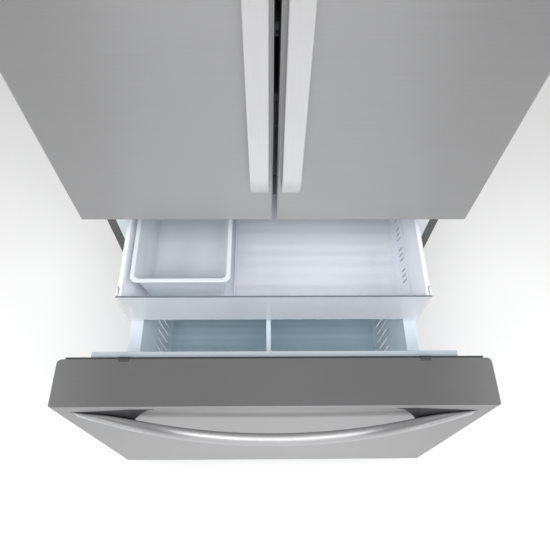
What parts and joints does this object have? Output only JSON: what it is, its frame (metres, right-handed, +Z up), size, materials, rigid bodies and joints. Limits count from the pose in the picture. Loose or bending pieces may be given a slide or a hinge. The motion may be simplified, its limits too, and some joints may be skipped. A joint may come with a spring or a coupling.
{
  "type": "french door refrigerator",
  "caption": "Upright refrigerator with paired upper doors on side hinges and a bottom freezer drawer with a basket, a sliding tray and an ice bin.",
  "frame": {"origin": "centre of the footprint at rest, on the floor under the legs", "axes": "+X across the width, to the right of someone facing the doors; -Y out of the doors; +Z up"},
  "size_m": [0.908, 1.3496, 1.776],
  "materials": {
    "case_paint": "satin grey paint",
    "back_sheet": "zinc-coated sheet",
    "foam": "foamed core",
    "liner_white": "soft gloss",
    "beam_dark": "satin",
    "base_steel": "satin",
    "grille_plastic": "matte",
    "black_plastic": "matte",
    "hinge_steel": "zinc plated",
    "cover_plastic": "matte",
    "compressor_paint": "gloss",
    "coil_paint": "satin",
    "valve_plastic": "gloss",
    "shelf_glass": "clear",
    "trim_white": "soft gloss",
    "zinc_steel": "zinc plated",
    "clear_plastic": "clear",
    "lamp_lens": "frosted",
    "coil_aluminium": "mill finish",
    "ice_plastic": "satin",
    "door_steel": "brushed",
    "door_core": "soft gloss liner on foam",
    "seal_rubber": "matte",
    "handle_steel": "brushed",
    "basket_plastic": "milky",
    "tray_plastic": "satin",
    "bin_plastic": "satin",
    "divider_plastic": "satin"
  },
  "bodies": {
    "cabinet": {"cabinet_shell": "case_paint", "back_panel": "back_sheet", "cabinet_foam": "foam", "fridge_liner": "liner_white", "freezer_liner": "liner_white", "horizontal_mullion": "beam_dark", "base_frame": "base_steel", "toe_grille": "grille_plastic", "levelling_legs": "black_plastic", "top_hinges": "hinge_steel", "hinge_covers": "cover_plastic", "middle_hinges": "hinge_steel", "machine_cover": "back_sheet", "compressor": "compressor_paint", "condenser": "coil_paint", "condenser_fan_mount": "black_plastic", "water_valve": "valve_plastic", "glass_shelves": "shelf_glass", "shelf_frames": "trim_white", "shelf_ladders": "zinc_steel", "crisper_cover": "trim_white", "air_duct_cover": "trim_white", "ceiling_light": "lamp_lens", "control_panel": "cover_plastic", "freezer_duct_cover": "trim_white", "evaporator": "coil_aluminium", "ice_maker": "ice_plastic", "rail_outer": "zinc_steel", "tray_tracks": "trim_white"},
    "left_door": {"left_door_skin": "door_steel", "left_door_liner": "door_core", "left_door_seal": "seal_rubber", "left_door_bins": "clear_plastic", "left_door_handle": "handle_steel", "flipper_hinges": "grille_plastic"},
    "flipper": {"flipper_mullion": "grille_plastic"},
    "right_door": {"right_door_skin": "door_steel", "right_door_liner": "door_core", "right_door_seal": "seal_rubber", "right_door_bins": "clear_plastic", "right_door_handle": "handle_steel"},
    "freezer_drawer": {"drawer_front_skin": "door_steel", "drawer_front_liner": "door_core", "drawer_front_seal": "seal_rubber", "drawer_handle": "handle_steel", "lower_basket": "basket_plastic", "basket_divider": "divider_plastic", "rail_inner": "zinc_steel"},
    "rails_middle": {"rail_middle": "zinc_steel"},
    "tray": {"upper_tray": "tray_plastic", "tray_clear_front": "clear_plastic", "ice_bin": "bin_plastic"},
    "crisper_left": {"crisper_left": "clear_plastic"},
    "crisper_right": {"crisper_right": "clear_plastic"},
    "deli_drawer": {"deli_drawer": "clear_plastic"},
    "rear_rollers": {"rear_rollers": "black_plastic"},
    "condenser_fan": {"condenser_fan": "grille_plastic"},
    "evaporator_fan": {"evaporator_fan": "ice_plastic"},
    "ice_ejector": {"ice_ejector": "valve_plastic"}
  },
  "joints": [
    {"name": "left_door_hinge", "type": "hinge", "parent": "cabinet", "child": "left_door", "pos_m": [-0.438, -0.1495, 1.24], "axis": [0, 0, -1], "range_deg": [0, 110]},
    {"name": "right_door_hinge", "type": "hinge", "parent": "cabinet", "child": "right_door", "pos_m": [0.438, -0.1495, 1.24], "axis": [0, 0, 1], "range_deg": [0, 110]},
    {"name": "flipper_hinge", "type": "hinge", "parent": "left_door", "child": "flipper", "pos_m": [-0.038, -0.0555, 1.2], "axis": [0, 0, -1], "range_deg": [0, 90]},
    {"name": "freezer_drawer_slide", "type": "slide", "parent": "cabinet", "child": "freezer_drawer", "axis": [0, -1, 0], "range_m": [-0.434, 0.03]},
    {"name": "rails_middle_slide", "type": "slide", "parent": "cabinet", "child": "rails_middle", "axis": [0, -1, 0], "range_m": [-0.217, 0.015]},
    {"name": "tray_slide", "type": "slide", "parent": "cabinet", "child": "tray", "axis": [0, -1, 0], "range_m": [-0.285, 0.02]},
    {"name": "crisper_left_slide", "type": "slide", "parent": "cabinet", "child": "crisper_left", "axis": [0, -1, 0], "range_m": [0, 0.05]},
    {"name": "crisper_right_slide", "type": "slide", "parent": "cabinet", "child": "crisper_right", "axis": [0, -1, 0], "range_m": [0, 0.05]},
    {"name": "deli_drawer_slide", "type": "slide", "parent": "cabinet", "child": "deli_drawer", "axis": [0, -1, 0], "range_m": [0, 0.05]},
    {"name": "rear_roller_spin", "type": "hinge", "parent": "cabinet", "child": "rear_rollers", "pos_m": [0, 0.6245, 0.016], "axis": [1, 0, 0], "continuous": true},
    {"name": "condenser_fan_spin", "type": "hinge", "parent": "cabinet", "child": "condenser_fan", "pos_m": [-0.128, 0.5705, 0.156], "axis": [1, 0, 0], "continuous": true},
    {"name": "evaporator_fan_spin", "type": "hinge", "parent": "cabinet", "child": "evaporator_fan", "pos_m": [0.15, 0.57, 0.66], "axis": [0, 1, 0], "continuous": true},
    {"name": "ice_ejector_spin", "type": "hinge", "parent": "cabinet", "child": "ice_ejector", "pos_m": [-0.26, 0.42, 0.7], "axis": [0, 1, 0], "continuous": true}
  ],
  "couplings": [
    {"joint": "rails_middle_slide", "follows": "freezer_drawer_slide", "ratio": 0.5},
    {"joint": "tray_slide", "follows": "freezer_drawer_slide", "ratio": 0.6566}
  ]
}
